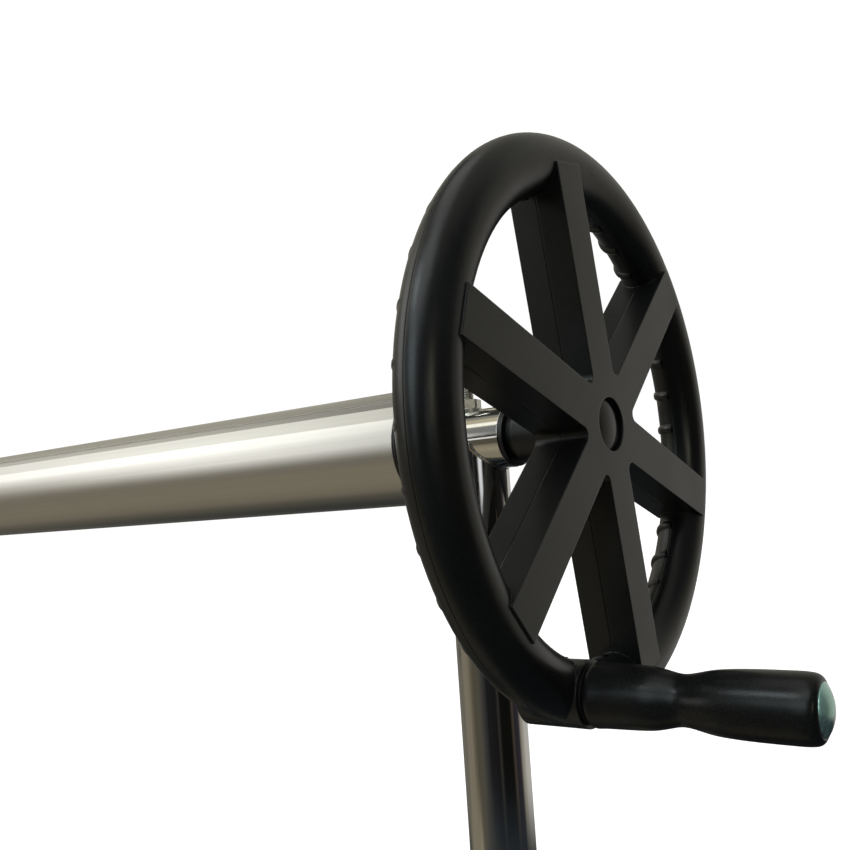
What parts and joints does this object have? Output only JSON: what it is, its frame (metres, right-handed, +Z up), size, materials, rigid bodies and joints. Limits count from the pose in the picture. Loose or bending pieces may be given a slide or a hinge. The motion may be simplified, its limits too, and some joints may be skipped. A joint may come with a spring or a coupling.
{
  "type": "pool cover reel",
  "caption": "Low reel for a pool or spa cover: a grooved roller tube between two inverted-T stands, turned by a spoked hand wheel with a spinning grip and held by a lock bolt.",
  "frame": {"origin": "on the floor under the middle of the whole reel, halfway between the far end collar and the grip's tip", "axes": "+Z up, +X along the roller tube towards the hand wheel, Y across the stands"},
  "size_m": [2.356, 0.568, 0.675],
  "materials": {
    "anodised_tube": "satin anodised",
    "polished_stainless": "polished",
    "weld_bead": "as welded, cleaned",
    "stainless_hardware": "machined",
    "shaft_steel": "ground",
    "plug_plastic": "satin moulded",
    "bush_plastic": "satin moulded",
    "wheel_plastic": "fine matt texture",
    "grip_plastic": "satin moulded",
    "cap_plastic": "glossy moulded",
    "foot_plastic": "fine matt texture",
    "pad_rubber": "matt",
    "pad_brass": "turned",
    "collar_aluminium": "turned"
  },
  "bodies": {
    "frame": {"bush_drive_inner": "bush_plastic", "bush_drive_outer": "bush_plastic", "bush_far_inner": "bush_plastic", "bush_far_outer": "bush_plastic", "floor_pad_drive_back": "pad_rubber", "floor_pad_drive_front": "pad_rubber", "floor_pad_far_back": "pad_rubber", "floor_pad_far_front": "pad_rubber", "foot_bar_drive": "polished_stainless", "foot_bar_far": "polished_stainless", "foot_drive_back": "foot_plastic", "foot_drive_front": "foot_plastic", "foot_far_back": "foot_plastic", "foot_far_front": "foot_plastic", "lock_boss": "stainless_hardware", "lock_nut": "stainless_hardware", "sleeve_drive": "polished_stainless", "sleeve_far": "polished_stainless", "upright_drive": "polished_stainless", "upright_far": "polished_stainless", "weld_foot_drive": "weld_bead", "weld_foot_far": "weld_bead", "weld_top_drive": "weld_bead", "weld_top_far": "weld_bead"},
    "reel": {"tube": "anodised_tube", "tube_plug_drive": "plug_plastic", "tube_plug_far": "plug_plastic", "plug_screws_drive": "stainless_hardware", "plug_screws_far": "stainless_hardware", "shaft_drive": "shaft_steel", "shaft_far": "shaft_steel", "far_collar": "collar_aluminium", "collar_screw": "stainless_hardware", "wheel_front": "wheel_plastic", "wheel_rear": "wheel_plastic", "wheel_screws": "stainless_hardware", "hub_pin": "stainless_hardware", "hub_washer": "stainless_hardware", "hub_bolt": "stainless_hardware", "hub_cap": "grip_plastic", "spindle": "stainless_hardware", "spindle_nut": "stainless_hardware", "handle_ring": "grip_plastic"},
    "grip": {"grip": "grip_plastic", "grip_cap": "cap_plastic"},
    "brake_pad": {"brake_pad": "pad_brass"},
    "lock_bolt": {"lock_bolt": "stainless_hardware"}
  },
  "joints": [
    {"name": "reel_spin", "type": "hinge", "parent": "frame", "child": "reel", "pos_m": [0, 0, 0.5], "axis": [1, 0, 0], "continuous": true},
    {"name": "grip_spin", "type": "hinge", "parent": "reel", "child": "grip", "pos_m": [1.052, -0.05027, 0.35063], "axis": [1, 0, 0], "continuous": true},
    {"name": "pad_feed", "type": "slide", "parent": "frame", "child": "brake_pad", "axis": [0, 0, 1], "range_m": [-0.00075, 0.003]},
    {"name": "bolt_turn", "type": "hinge", "parent": "brake_pad", "child": "lock_bolt", "pos_m": [0.948, 0, 0.55], "axis": [0, 0, 1], "range_deg": [-181, 722]}
  ],
  "couplings": [
    {"joint": "bolt_turn", "follows": "pad_feed", "rad_per_m": 4188.8}
  ]
}
